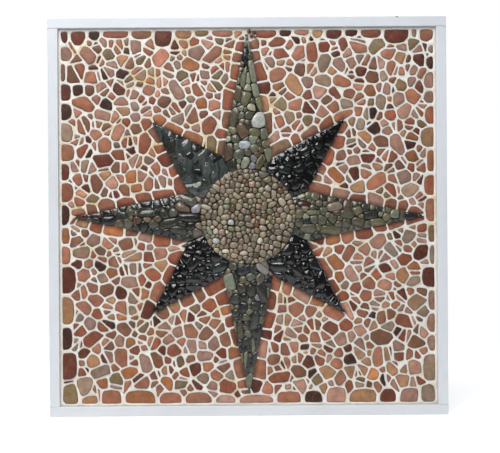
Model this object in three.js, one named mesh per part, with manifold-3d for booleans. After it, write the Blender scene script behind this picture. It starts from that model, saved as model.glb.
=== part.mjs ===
// A square mosaic wall panel: a white wooden frame round a board that carries a grout bed, paving stones
// in its surface, and a raised eight-point star of pebbles. Millimetres, +Z up. The panel faces -Y, and
// the origin is the centre of its back face.
import * as THREE from "three";
import { mergeVertices } from "three/addons/utils/BufferGeometryUtils.js";
import Module from "manifold-3d";

const wasm = await Module();
wasm.setup();

// Frame and board
const panelSide = 600;
const railWidth = 15;
const railDepth = 28;
const railRound = 1; // rounding of the two front edges of a rail
const railRoundSteps = 3;
const fitGap = 0.3; // clearance between neighbouring pieces
const weldGap = 1e-4; // corners closer together than this are one corner
const boardThickness = 12;

// Grout bed
const bedFront = 22; // from the back face of the panel to the face of the grout
const groutBand = 4; // plain grout between the frame and the stones that line it

// Stones of the course along the frame
const stoneFront = 23.2; // from the back face of the panel to the face of a stone
const stoneThickness = 7;
const stoneChamfer = 1.1;
const stoneSides = 10;
const stoneFoot = 2.5; // depth of the gently rounded side that lies along the frame
const footSquareness = 5;
const humpSquareness = [2.3, 4.6]; // 2 is a half round, 5 is nearly a rectangle
const stoneLean = [-0.15, 0.15]; // sideways shift of the hump for each millimetre of its depth
const cornerJoint = 5;
const leastStoneLength = 25; // the shorter stones of the course are too small to be pieces here

// The stones along each side as [length along the frame, depth]. Top and bottom run from left to right and
// hold the corner stones. Left and right run from top to bottom. Depth 0 is a place left for a star tip.
const courses = {
  top: [
    [10.5, 18], [22.5, 21], [17, 13.5], [38.5, 10.5], [31, 12.5], [26, 24], [25, 12], [21.5, 9], [31.5, 9.5],
    [22, 0], [35, 12], [18, 9.5], [22.5, 8], [16, 12], [24.5, 14], [19, 10.5], [31, 12.5], [37.5, 21], [7, 12],
    [20, 19],
  ],
  bottom: [
    [23, 31], [24.5, 12], [30, 21], [46, 20], [34, 16.5], [40, 16.5], [30, 12], [52, 12], [36, 17], [27, 18],
    [29, 23], [41, 20], [24.5, 20], [27, 21], [21, 27],
  ],
  left: [
    [21.5, 17], [27, 6.5], [25.5, 15], [25.5, 16.5], [28, 17.5], [25.5, 20], [25.5, 12], [29, 18], [31, 12],
    [24, 12], [27, 13], [41, 21], [43, 18], [34, 15], [41, 22],
  ],
  right: [
    [12, 7.5], [19, 10.5], [24, 14], [18, 15], [27, 13], [30, 20], [33, 10], [31, 15], [35, 13], [26, 9],
    [29, 7], [30, 19], [30, 9.5], [28.5, 12], [23.5, 11.5], [40, 18],
  ],
};
const stoneColors = [0x94553f, 0xa0705c, 0x9c6a45, 0x8c7566, 0x6a2f20, 0x4a201a];

// Star, with heights measured from the face of the grout
const longPoints = { east: 263, north: 276, west: 261, south: 266 }; // reach of each tip from the centre
const shortPoints = { northeast: 205, northwest: 203, southwest: 204, southeast: 205 };
const valleyRadius = 99; // where a long and a short point meet
const bossRadius = 72;
const tipHalfWidth = 1.5;
const pointEdgeHeight = 3;
const longCrest = { base: 9.5, tip: 4 };
const shortCrest = { base: 9, tip: 4 };
const longRows = 14;
const shortRows = 9;
const innerRows = 2; // rows between the boss and the valleys
const pointColumns = 6;
const bossEdgeHeight = 8;
const bossCentreHeight = 12;
const bossSides = 30;
const bossRings = 6;
const cobbleHeight = 1.3; // how far the pebbled surface stands above and below its mean

const inner = panelSide / 2 - railWidth; // half the opening of the frame
const courseEdge = inner - groutBand;
const quarterTurn = Math.PI / 2;
const eighthTurn = Math.PI / 4;

// Repeatable numbers from 0 to 1.
function randomSource(seed) {
  let state = seed;
  return () => {
    state = (Math.imul(state, 1664525) + 1013904223) >>> 0;
    return state / 2 ** 32;
  };
}

function between([low, high], share) {
  return low + (high - low) * share;
}

function finish(color, roughness) {
  return new THREE.MeshStandardMaterial({ color, roughness, metalness: 0 });
}

function namedMesh(name, geometry, material) {
  const mesh = new THREE.Mesh(geometry, material);
  mesh.name = name;
  return mesh;
}

function solidFrom(geometry) {
  const bare = geometry.clone();
  bare.deleteAttribute("normal");
  bare.deleteAttribute("uv");
  const merged = mergeVertices(bare, weldGap);
  return new wasm.Manifold(
    new wasm.Mesh({
      numProp: 3,
      vertProperties: merged.attributes.position.array,
      triVerts: new Uint32Array(merged.index.array),
    }),
  );
}

function geometryFrom(solid) {
  const mesh = solid.getMesh();
  const geometry = new THREE.BufferGeometry();
  geometry.setAttribute("position", new THREE.BufferAttribute(mesh.vertProperties, 3));
  geometry.setIndex(new THREE.BufferAttribute(mesh.triVerts, 1));
  geometry.computeVertexNormals();
  return geometry;
}

// Below, a piece is drawn as seen from the front: x to the right, y up, and z towards the viewer from the
// back face. The panel's group turns all of them to face -Y at the end.

// One strip of the frame along x, its inner side at y = inner.
function makeRail(name, length) {
  const section = new THREE.Shape();
  section.moveTo(0, 0);
  section.lineTo(railWidth, 0);
  section.absarc(railWidth - railRound, railDepth - railRound, railRound, 0, quarterTurn, false);
  section.absarc(railRound, railDepth - railRound, railRound, quarterTurn, 2 * quarterTurn, false);
  section.closePath();
  const geometry = new THREE.ExtrudeGeometry(section, {
    depth: length,
    bevelEnabled: false,
    curveSegments: railRoundSteps,
  });
  const sectionToYZ = new THREE.Matrix4().makeBasis(
    new THREE.Vector3(0, 1, 0),
    new THREE.Vector3(0, 0, 1),
    new THREE.Vector3(1, 0, 0),
  );
  geometry.translate(0, 0, -length / 2);
  geometry.applyMatrix4(sectionToYZ);
  geometry.translate(0, inner, 0);
  return namedMesh(name, geometry, finish(0xdadee6, 0.45));
}

// The top and bottom strips run the full width, and the side strips butt against them.
function makeFrame() {
  const frame = new THREE.Group();
  const sideLength = panelSide - 2 * (railWidth + fitGap);
  const strips = [
    ["frame_rail_top", panelSide],
    ["frame_rail_left", sideLength],
    ["frame_rail_bottom", panelSide],
    ["frame_rail_right", sideLength],
  ];
  strips.forEach(([name, length], quarter) => {
    const strip = makeRail(name, length);
    strip.rotation.z = quarter * quarterTurn;
    frame.add(strip);
  });
  return frame;
}

function makeBoard() {
  const width = 2 * (inner - fitGap);
  const board = new THREE.BoxGeometry(width, width, boardThickness);
  board.translate(0, 0, boardThickness / 2);
  return namedMesh("backing_board", board, finish(0xb08f63, 0.75));
}

// The outline of a course stone's flat face, with the stone's foot along y = 0 and its hump towards +y. It is
// a squared ellipse whose upper half is the hump and whose lower half is only the rounding of the foot.
function stoneFace({ length, depth, squareness, lean }) {
  const halfLength = length / 2 - stoneChamfer;
  const points = [];
  for (let i = 0; i < stoneSides; i++) {
    const angle = ((i + 0.5) * 2 * Math.PI) / stoneSides;
    const isHump = Math.sin(angle) > 0;
    const power = 2 / (isHump ? squareness : footSquareness);
    const reach = (isHump ? depth - stoneFoot : stoneFoot) - stoneChamfer;
    const across = Math.sign(Math.cos(angle)) * Math.abs(Math.cos(angle)) ** power;
    const up = Math.sign(Math.sin(angle)) * Math.abs(Math.sin(angle)) ** power * reach;
    points.push(new THREE.Vector2(across * halfLength + lean * up, stoneFoot + up));
  }
  return new THREE.Shape(points);
}

// Spreads each side's stones evenly along it. A stone's middle is measured along x with the frame below it,
// and its quarter is the turn that takes it from there to its own side.
function layCourses() {
  const random = randomSource(20);
  const { top, bottom } = courses;
  const sides = [
    { name: "top", quarter: 2, from: courseEdge, to: -courseEdge },
    { name: "bottom", quarter: 0, from: -courseEdge, to: courseEdge },
    {
      name: "left",
      quarter: -1,
      from: -courseEdge + top[0][1] + cornerJoint,
      to: courseEdge - bottom[0][1] - cornerJoint,
    },
    {
      name: "right",
      quarter: 1,
      from: courseEdge - top.at(-1)[1] - cornerJoint,
      to: -courseEdge + bottom.at(-1)[1] + cornerJoint,
    },
  ];
  const stones = [];
  for (const { name, quarter, from, to } of sides) {
    const course = courses[name];
    const way = Math.sign(to - from);
    const filled = course.reduce((sum, [length]) => sum + length, 0);
    const joint = (Math.abs(to - from) - filled) / (course.length - 1);
    let start = from;
    course.forEach(([length, depth], index) => {
      const stone = {
        name: `course_stone_${name}_${String(index + 1).padStart(2, "0")}`,
        quarter,
        middle: start + (way * length) / 2,
        length,
        depth,
        squareness: between(humpSquareness, random()),
        lean: between(stoneLean, random()),
        color: stoneColors[Math.floor(random() * stoneColors.length)],
      };
      if (depth > 0 && length >= leastStoneLength) stones.push(stone);
      start += way * (length + joint);
    });
  }
  return stones;
}

// A chamfered block in a stone's place: the stone itself, or with a gap the room that its pocket takes.
function stoneBlock(stone, gap) {
  const block = new THREE.ExtrudeGeometry(stoneFace(stone), {
    depth: stoneThickness - 2 * stoneChamfer + 2 * gap,
    bevelThickness: stoneChamfer,
    bevelSize: stoneChamfer + gap,
    bevelSegments: 1,
  });
  block.translate(stone.middle, -courseEdge, stoneFront - stoneThickness + stoneChamfer - gap);
  block.rotateZ(stone.quarter * quarterTurn);
  return block;
}

function makeStone(stone) {
  return namedMesh(stone.name, stoneBlock(stone, 0), finish(stone.color, 0.6));
}

// The grout bed fills the frame in front of the board, with a pocket for each stone of the course.
function makeBed(stones) {
  const width = 2 * (inner - fitGap);
  const back = boardThickness + fitGap;
  const slab = new THREE.BoxGeometry(width, width, bedFront - back);
  slab.translate(0, 0, (bedFront + back) / 2);
  const pockets = stones.map((stone) => solidFrom(stoneBlock(stone, fitGap)));
  const bed = pockets.reduce((solid, pocket) => solid.subtract(pocket), solidFrom(slab));
  return namedMesh("grout_bed", geometryFrom(bed), finish(0xe4ded4, 0.9));
}

// Heights of the pebbled surface at the crossings of a grid: ups and downs alternate, by varied amounts.
function cobbles(random, rows, columns) {
  return Array.from({ length: rows }, (_, i) =>
    Array.from({ length: columns }, (_, j) => cobbleHeight * ((i + j) % 2 ? -1 : 1) * random()),
  );
}

// One point of the star along +x. A segmented box is warped to its outline and its crowned face: u runs
// from the boss to the tip, and v from one edge to the other.
function makePoint(name, reach, crest, rows, random, material) {
  const half = eighthTurn / 2; // from the middle of a point to the valleys beside it
  const baseRadius = bossRadius + fitGap;
  const sideGap = fitGap / 2 / Math.cos(half);
  const base = { x: baseRadius * Math.cos(half), y: baseRadius * Math.sin(half) - sideGap };
  const valley = { x: valleyRadius * Math.cos(half), y: valleyRadius * Math.sin(half) - sideGap };
  const bump = cobbles(random, rows + 1, pointColumns + 1);
  const back = bedFront + fitGap;
  const geometry = new THREE.BoxGeometry(1, 1, 1, rows, pointColumns, 1);
  const position = geometry.attributes.position;
  const lerp = THREE.MathUtils.lerp;
  for (let i = 0; i < position.count; i++) {
    const row = Math.round((position.getX(i) + 0.5) * rows);
    const column = Math.round((position.getY(i) + 0.5) * pointColumns);
    const v = (2 * column) / pointColumns - 1;
    const inward = Math.max(0, 1 - row / innerRows); // 1 at the boss, 0 from the valleys outwards
    const outward = Math.max(0, (row - innerRows) / (rows - innerRows));
    const edgeX = inward > 0 ? lerp(valley.x, base.x, inward) : lerp(valley.x, reach, outward);
    const halfWidth = inward > 0 ? lerp(valley.y, base.y, inward) : lerp(valley.y, tipHalfWidth, outward);
    const y = v * halfWidth;
    const roundBase = Math.sqrt(baseRadius ** 2 - (v * base.y) ** 2) - base.x;
    const x = edgeX + inward * roundBase;
    const crown = lerp(crest.base, crest.tip, (x - baseRadius) / (reach - baseRadius)) - pointEdgeHeight;
    const isInside = row > 0 && row < rows && column > 0 && column < pointColumns;
    const face = bedFront + pointEdgeHeight + crown * (1 - v * v) + (isInside ? bump[row][column] : 0);
    position.setXYZ(i, x, y, position.getZ(i) > 0 ? face : back);
  }
  return namedMesh(name, geometry, material);
}

// The round boss in the middle: a low dome, pebbled like the points.
function makeBoss(random) {
  const back = bedFront + fitGap;
  const bump = cobbles(random, bossSides, bossRings);
  const profile = [new THREE.Vector2(0, back), new THREE.Vector2(bossRadius, back)];
  for (let ring = bossRings; ring >= 0; ring--) {
    const share = ring / bossRings;
    const height = THREE.MathUtils.lerp(bossCentreHeight, bossEdgeHeight, share ** 2);
    profile.push(new THREE.Vector2(bossRadius * share, bedFront + height));
  }
  const geometry = new THREE.LatheGeometry(profile, bossSides);
  const position = geometry.attributes.position;
  for (let i = 0; i < position.count; i++) {
    const side = Math.floor(i / profile.length) % bossSides;
    const ring = profile.length - 1 - (i % profile.length);
    const isInside = ring > 0 && ring < bossRings;
    if (isInside) position.setY(i, position.getY(i) + bump[side][ring]);
  }
  geometry.rotateX(quarterTurn);
  return namedMesh("star_centre", geometry, finish(0x96856f, 0.5));
}

function makeStar() {
  const star = new THREE.Group();
  const random = randomSource(7);
  Object.entries(longPoints).forEach(([direction, reach], i) => {
    const material = finish(0x56564a, 0.25);
    const point = makePoint(`star_point_${direction}`, reach, longCrest, longRows, random, material);
    point.rotation.z = i * quarterTurn;
    star.add(point);
  });
  Object.entries(shortPoints).forEach(([direction, reach], i) => {
    const material = finish(0x25262a, 0.15);
    const point = makePoint(`star_point_${direction}`, reach, shortCrest, shortRows, random, material);
    point.rotation.z = eighthTurn + i * quarterTurn;
    star.add(point);
  });
  star.add(makeBoss(random));
  return star;
}

const stones = layCourses();
const panel = new THREE.Group();
panel.add(makeFrame(), makeBoard(), makeBed(stones), ...stones.map(makeStone), makeStar());
panel.rotation.x = quarterTurn;

export default panel;
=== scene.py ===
# Mosaic wall panel: paving stones in white grout round a raised eight-point star of pebbles.
import math
import random

import bpy
import numpy as np
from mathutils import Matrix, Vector
from mathutils import noise as waves
from mathutils.geometry import delaunay_2d_cdt


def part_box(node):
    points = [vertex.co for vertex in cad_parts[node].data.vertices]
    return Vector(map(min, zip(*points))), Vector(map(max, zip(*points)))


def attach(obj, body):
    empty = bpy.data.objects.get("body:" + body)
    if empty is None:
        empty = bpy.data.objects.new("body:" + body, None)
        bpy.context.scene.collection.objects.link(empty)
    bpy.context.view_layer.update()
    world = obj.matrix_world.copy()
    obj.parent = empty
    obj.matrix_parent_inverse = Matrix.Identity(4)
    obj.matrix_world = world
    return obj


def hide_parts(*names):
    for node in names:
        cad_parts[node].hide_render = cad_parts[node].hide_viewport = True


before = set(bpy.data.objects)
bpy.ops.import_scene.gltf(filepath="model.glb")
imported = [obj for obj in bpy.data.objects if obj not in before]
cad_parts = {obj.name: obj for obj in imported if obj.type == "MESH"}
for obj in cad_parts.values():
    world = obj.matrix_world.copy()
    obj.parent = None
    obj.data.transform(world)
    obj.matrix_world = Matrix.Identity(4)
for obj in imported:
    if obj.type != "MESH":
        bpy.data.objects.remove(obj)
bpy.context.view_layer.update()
print("frame loaded:", len(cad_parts), "nodes")

mm = 0.001
quarterTurn = math.pi / 2
eighthTurn = math.pi / 4

# The mosaic is drawn flat in millimetres, x to the right and z up, with heights from the face of the grout.


def edgeOf(node, x, z):
    # how far a node of the model reaches in a direction
    return max(v.co.x * x + v.co.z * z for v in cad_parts[node].data.vertices) / mm


bed = {
    "level": -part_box("grout_bed")[0].y / mm,  # from the back of the panel to the face of the grout
    "back": -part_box("grout_bed")[1].y / mm,
    "half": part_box("grout_bed")[1].x / mm + 0.25,  # up to the frame
    "sag": 0.3,  # how far the middle of a joint lies below its sides
    "climb": 0.3,  # how far the grout climbs up a stone
    "pocket": 2.4,
    "bank": 1.0,  # how far it climbs up the frame
    "step": 4.0,
}
courseEdge = edgeOf("course_stone_right_10", 1, 0)  # where the stones stop short of the frame

starPoints = {
    "east": 0, "northeast": 1, "north": 2, "northwest": 3,
    "west": 4, "southwest": 5, "south": 6, "southeast": 7,
}
pointReach = [
    edgeOf(f"star_point_{name}", math.cos(i * eighthTurn), math.sin(i * eighthTurn))
    for name, i in starPoints.items()
]
star = {
    "boss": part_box("star_centre")[1].x / mm,
    "valley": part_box("star_point_east")[1].z / mm / math.sin(eighthTurn / 2),
    "tipHalf": 1.5,
    "edge": 3.0,  # heights of the pebbled surface
    "longCrest": (9.5, 4.0),
    "shortCrest": (9.0, 4.0),
    "bossEdge": 8.0,
    "bossTop": 12.0,
}


def pairsOf(cell):
    # each corner of an outline with the next one
    return zip(cell, cell[1:] + cell[:1])


def keepSide(cell, px, pz, nx, nz):
    # the part of a convex outline behind a line
    kept = []
    for (ax, az), (bx, bz) in pairsOf(cell):
        da = (ax - px) * nx + (az - pz) * nz
        db = (bx - px) * nx + (bz - pz) * nz
        if da <= 0:
            kept.append((ax, az))
        if da * db < 0:
            t = da / (da - db)
            kept.append((ax + (bx - ax) * t, az + (bz - az) * t))
    return kept


def areaOf(cell):
    return sum(ax * bz - bx * az for (ax, az), (bx, bz) in pairsOf(cell)) / 2


def middleOf(cell):
    return sum(x for x, _ in cell) / len(cell), sum(z for _, z in cell) / len(cell)


def boxOf(cell):
    xs, zs = zip(*cell)
    return min(xs), max(xs), min(zs), max(zs)


def polygonOf(x, z, radius, turns):
    return [(x + radius * math.cos(a), z + radius * math.sin(a)) for a in turns]


def sidesOf(cell):
    # each side as a point on it and its outward direction
    sides = []
    for (ax, az), (bx, bz) in pairsOf(cell):
        length = math.hypot(bx - ax, bz - az)
        if length > 1e-6:
            sides.append((ax, az, (bz - az) / length, (ax - bx) / length))
    return sides


def shrink(cell, gaps):
    for (px, pz, nx, nz), gap in zip(sidesOf(cell), gaps):
        cell = keepSide(cell, px - nx * gap, pz - nz * gap, nx, nz)
    return cell


def dropShortSides(cell, shortest):
    kept = []
    for point in cell:
        if not kept or math.dist(point, kept[-1]) > shortest:
            kept.append(point)
    while len(kept) > 3 and math.dist(kept[0], kept[-1]) < shortest:
        kept.pop()
    return kept


def softOutline(cell, roundness, spacing, least=12):
    # rounds the corners of an outline and spaces points evenly along it
    line = []
    for i, corner in enumerate(cell):
        before, after = cell[i - 1], cell[(i + 1) % len(cell)]
        start = [c + (b - c) * roundness for c, b in zip(corner, before)]
        end = [c + (a - c) * roundness for c, a in zip(corner, after)]
        for t in (0, 0.25, 0.5, 0.75, 1):
            line.append([
                s * (1 - t) ** 2 + 2 * c * t * (1 - t) + e * t * t
                for s, c, e in zip(start, corner, end)
            ])
    line = np.array(line + line[:1])
    reach = np.concatenate([[0], np.cumsum(np.linalg.norm(np.diff(line, axis=0), axis=1))])
    count = max(least, round(reach[-1] / spacing))
    along = np.linspace(0, reach[-1], count, endpoint=False)
    return np.column_stack([np.interp(along, reach, line[:, k]) for k in (0, 1)])


def hullOf(points):
    points = sorted(set(points))
    hull = []
    for line in (points, points[::-1]):
        part = []
        for p in line:
            while len(part) > 1 and (
                (part[-1][0] - part[-2][0]) * (p[1] - part[-2][1])
                <= (part[-1][1] - part[-2][1]) * (p[0] - part[-2][0])
            ):
                part.pop()
            part.append(p)
        hull += part[:-1]
    return hull


# A stone is planned as its middle, the turn of its spine, half the spine's length, and its radius round it.
spinePoints = 5
neighbours = 32  # the nearest stones, which can bound another
farAway = 1e6


def spineOf(x, z, turn, half, radius):
    # points along the middle line of a stone
    steps = np.linspace(-half, half, spinePoints)
    return np.column_stack([x + steps * math.cos(turn), z + steps * math.sin(turn)])


def scatter(rand, area, sizes, turns, taken, isFree, tries):
    # stones thrown at random, the largest first, each where it still has room
    stones = []
    spines = np.full((spinePoints * (len(taken) + len(sizes)), 2), farAway)
    reach = np.zeros(len(spines))

    def lay(stone):
        used = spinePoints * len(stones)
        spines[used : used + spinePoints] = spineOf(*stone)
        reach[used : used + spinePoints] = stone[4]
        stones.append(stone)

    def roomAt(points):
        # the least gap between some points and the stones laid so far
        used = spinePoints * len(stones)
        far = np.hypot(spines[:used, 0] - points[:, 0:1], spines[:used, 1] - points[:, 1:2])
        return np.min(far - reach[:used], initial=farAway)

    for stone in taken:
        lay(stone)
    for radius, half in sorted(sizes, reverse=True):
        for _ in range(tries):
            x, z = rand.uniform(area[0], area[1]), rand.uniform(area[2], area[3])
            if not isFree(x, z, radius) or roomAt(np.array([[x, z]])) < radius:
                continue
            stone = (x, z, rand.uniform(*turns), half, radius)
            spine = spineOf(*stone)
            if isFree(*spine[0], radius) and isFree(*spine[-1], radius) and roomAt(spine) >= radius:
                lay(stone)
                break
    return stones


def cellsRound(stones, reach):
    # the area that each stone may fill: between two stones runs one straight line
    spines = np.array([spineOf(*stone) for stone in stones])
    radii = np.array([stone[4] for stone in stones])
    cells = []
    for i, (own, stone) in enumerate(zip(spines, stones)):
        gaps = spines[:, None, :, :] - own[None, :, None, :]
        far = np.hypot(gaps[..., 0], gaps[..., 1]).reshape(len(stones), -1)
        closest = far.argmin(axis=1)
        apart = far[np.arange(len(stones)), closest]
        x, z = stone[:2]
        cell = [(x + a * reach, z + b * reach) for a, b in ((-1, -1), (1, -1), (1, 1), (-1, 1))]
        for j in np.argsort(apart - radii)[:neighbours]:
            if j == i:
                continue
            mine, its = divmod(closest[j], spinePoints)
            nx, nz = gaps[j, mine, its] / apart[j]
            share = radii[i] + (apart[j] - radii[i] - radii[j]) / 2
            cell = keepSide(cell, own[mine][0] + nx * share, own[mine][1] + nz * share, nx, nz)
            if len(cell) < 3:
                break
        cells.append(cell)
    return cells


def sizesOf(rand, look):
    # radius and half spine of each stone that may be laid, mostly small ones
    low, high = look["radius"]
    sizes = []
    for _ in range(look["count"]):
        radius = low + (high - low) * rand.random() ** look["skew"]
        sizes.append((radius, radius * max(0, rand.uniform(-0.5, 1)) * look["longness"]))
    return sizes


def starFrame(x, z):
    # the nearest point of the star, with the place along its axis and across it
    turn = round(math.atan2(z, x) / eighthTurn) % 8
    c, s = math.cos(turn * eighthTurn), math.sin(turn * eighthTurn)
    return turn, x * c + z * s, z * c - x * s


valleyAlong = star["valley"] * math.cos(eighthTurn / 2)
valleyAcross = star["valley"] * math.sin(eighthTurn / 2)


def halfWidth(turn, along):
    share = (along - valleyAlong) / (pointReach[turn] - valleyAlong)
    if share < 0:
        return along * math.tan(eighthTurn / 2)
    return valleyAcross + (star["tipHalf"] - valleyAcross) * min(share, 1)


def starDistance(x, z):
    # from the star's edge, negative inside
    turn, along, across = starFrame(x, z)
    slope = (valleyAcross - star["tipHalf"]) / (pointReach[turn] - valleyAlong)
    line = valleyAcross - slope * (along - valleyAlong)
    return max((abs(across) - line) / math.hypot(1, slope), along - pointReach[turn])


def starHeight(x, z):
    # mean height of the pebbled surface above the grout
    turn, along, across = starFrame(x, z)
    out = math.hypot(x, z) / star["boss"]
    if out < 1:
        return star["bossTop"] + (star["bossEdge"] - star["bossTop"]) * out * out
    base, tip = star["shortCrest" if turn % 2 else "longCrest"]
    share = (along - star["boss"]) / (pointReach[turn] - star["boss"])
    crest = base + (tip - base) * min(max(share, 0), 1)
    v = min(abs(across) / max(halfWidth(turn, along), 0.1), 1)
    return star["edge"] + (crest - star["edge"]) * (1 - v * v)


def onPoint(turn, along, across):
    c, s = math.cos(turn * eighthTurn), math.sin(turn * eighthTurn)
    return along * c - across * s, along * s + across * c


def pointCorners(turn):
    # a point of the star with its share of the middle, along and across its own axis
    reach, tip = pointReach[turn], star["tipHalf"]
    return [(0, 0), (valleyAlong, -valleyAcross), (reach, -tip), (reach, tip), (valleyAlong, valleyAcross)]


def newPile():
    return {"points": [], "faces": [], "tints": []}


def stackRings(pile, rings, tints, top):
    # joins rings of points into one closed stone, from its underside up
    points, faces = pile["points"], pile["faces"]
    first, count = len(points), len(rings[0])
    for ring, tint in zip(rings, tints):
        points.extend(ring.tolist())
        pile["tints"].extend([tint] * count)
    points.append(rings[0].mean(axis=0).tolist())
    points.append(list(top))
    pile["tints"].extend([tints[0], tints[-1]])
    under, crown = len(points) - 2, len(points) - 1
    for k in range(len(rings) - 1):
        low = first + k * count
        for s in range(count):
            t = (s + 1) % count
            faces.append((low + s, low + t, low + count + t, low + count + s))
    last = first + (len(rings) - 1) * count
    for s in range(count):
        t = (s + 1) % count
        faces.append((first + t, first + s, under))
        faces.append((last + s, last + t, crown))


def makePiece(name, pile, finish, smooth=True):
    mesh = bpy.data.meshes.new(name)
    flat = np.array(pile["points"])
    placed = np.column_stack([flat[:, 0], -(flat[:, 2] + bed["level"]), flat[:, 1]]) * mm
    mesh.from_pydata(placed.tolist(), [], pile["faces"])
    tint = mesh.color_attributes.new("tint", "FLOAT_COLOR", "POINT")
    tint.data.foreach_set("color", np.array(pile["tints"], np.float32).ravel())
    mesh.polygons.foreach_set("use_smooth", [smooth] * len(mesh.polygons))
    mesh.materials.append(finish)
    piece = bpy.data.objects.new(name, mesh)
    bpy.context.scene.collection.objects.link(piece)
    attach(piece, "root")
    print("made", name, len(mesh.polygons), "faces")
    return piece


def linear(color):
    return [(c / 255 / 12.92) if c <= 10 else ((c / 255 + 0.055) / 1.055) ** 2.4 for c in color]


def solid(color):
    return (*linear(color), 1)


def varied(rand, color, light, warm):
    # one stone's own shade of a colour
    gain = math.exp(rand.gauss(0, light))
    shift = rand.gauss(0, warm)
    r, g, b = linear(color)
    return (r * gain * (1 + shift), g * gain, b * gain * (1 - shift), 1)


def blended(a, b, share):
    return tuple(p + (q - p) * share for p, q in zip(a, b))


def pick(rand, mix):
    return rand.choices(list(mix), list(mix.values()))[0]


def startFinish(name):
    finish = bpy.data.materials.new(name)
    finish.use_nodes = True
    tree = finish.node_tree
    return finish, tree, tree.nodes["Principled BSDF"]


def addNode(tree, kind, settings=None, **inputs):
    node = tree.nodes.new("ShaderNode" + kind)
    for name, value in (settings or {}).items():
        setattr(node, name, value)
    for name, value in inputs.items():
        socket = node.inputs[int(name[1:])] if name[1:].isdigit() else node.inputs[name.replace("_", " ")]
        if isinstance(value, bpy.types.NodeSocket):
            tree.links.new(value, socket)
        else:
            socket.default_value = value
    return node


def mathOf(tree, way, *terms):
    terms = {f"i{k}": term for k, term in enumerate(terms)}
    return addNode(tree, "Math", {"operation": way}, **terms).outputs[0]


def scaledPlace(tree, place, *scale):
    return addNode(tree, "Mapping", i0=place, Scale=scale).outputs[0]


def lengthOf(tree, vector):
    return addNode(tree, "VectorMath", {"operation": "LENGTH"}, i0=vector).outputs["Value"]


def noiseOf(tree, place, scale, detail=3.0, roughness=0.55):
    inputs = {"Vector": place, "Scale": scale, "Detail": detail, "Roughness": roughness}
    return addNode(tree, "TexNoise", **inputs).outputs["Fac"]


def spread(tree, value, low, high, out=(0.0, 1.0)):
    return addNode(
        tree, "MapRange", {"clamp": True},
        Value=value, From_Min=low, From_Max=high, To_Min=out[0], To_Max=out[1],
    ).outputs["Result"]


def mixed(tree, factor, a, b, way="MIX"):
    node = addNode(tree, "Mix", {"data_type": "RGBA", "blend_type": way}, i0=factor, i6=a, i7=b)
    return node.outputs[2]


def bumped(tree, shader, heights, distance, strength=1.0, socket="Normal"):
    # distance is in millimetres
    bump = addNode(tree, "Bump", Height=heights, Distance=distance * mm, Strength=strength)
    tree.links.new(bump.outputs["Normal"], shader.inputs[socket])


def dress(tree, shader, color, roughness):
    tree.links.new(color, shader.inputs["Base Color"])
    tree.links.new(roughness, shader.inputs["Roughness"])


def objectPlace(tree):
    return addNode(tree, "TexCoord").outputs["Object"]


def tintOf(tree):
    return addNode(tree, "Attribute", {"attribute_name": "tint"}).outputs["Color"]


def stoneFinish(name, look):
    finish, tree, shader = startFinish(name)
    place = objectPlace(tree)
    tint = tintOf(tree)
    cloud = noiseOf(tree, place, look["cloudScale"])
    grain = noiseOf(tree, place, look["grainScale"], 4.0, 0.65)
    body = mixed(tree, 1.0, tint, spread(tree, cloud, 0.3, 0.7, look["cloud"]), "MULTIPLY")
    body = mixed(tree, 1.0, body, spread(tree, grain, 0.3, 0.7, look["grain"]), "MULTIPLY")
    if look.get("vein"):
        vein = noiseOf(tree, place, look["cloudScale"] * 0.8, 2.0)
        fromLine = mathOf(tree, "ABSOLUTE", mathOf(tree, "SUBTRACT", vein, 0.5))
        line = spread(tree, fromLine, 0.0, 0.02, (look["vein"], 0.0))
        body = mixed(tree, line, body, solid(look["veinColor"]))
    dress(tree, shader, body, spread(tree, grain, 0.3, 0.7, look["roughness"]))
    bumped(tree, shader, mathOf(tree, "ADD", cloud, grain), look["bump"], look["bumpStrength"])
    if look.get("film"):
        waviness = noiseOf(tree, place, look["film"], 2.0)
        bumped(tree, shader, waviness, look["filmDepth"], socket="Coat Normal")
    shader.inputs["Coat Weight"].default_value = look.get("coat", 0.0)
    shader.inputs["Coat Roughness"].default_value = look.get("coatRoughness", 0.1)
    return finish


frameLook = {
    "paint": (226, 229, 233),
    "thin": (206, 208, 208),  # where the paint is thin or grubby
    "dirt": (168, 160, 146),
    "nick": (52, 42, 34),
    "nickAt": (226, 299.4),  # on the outer arris of the top strip
    "nickSize": (1.6, 2.0),
    "brushScale": 748,
    "brushStretch": 0.035,
}


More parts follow.
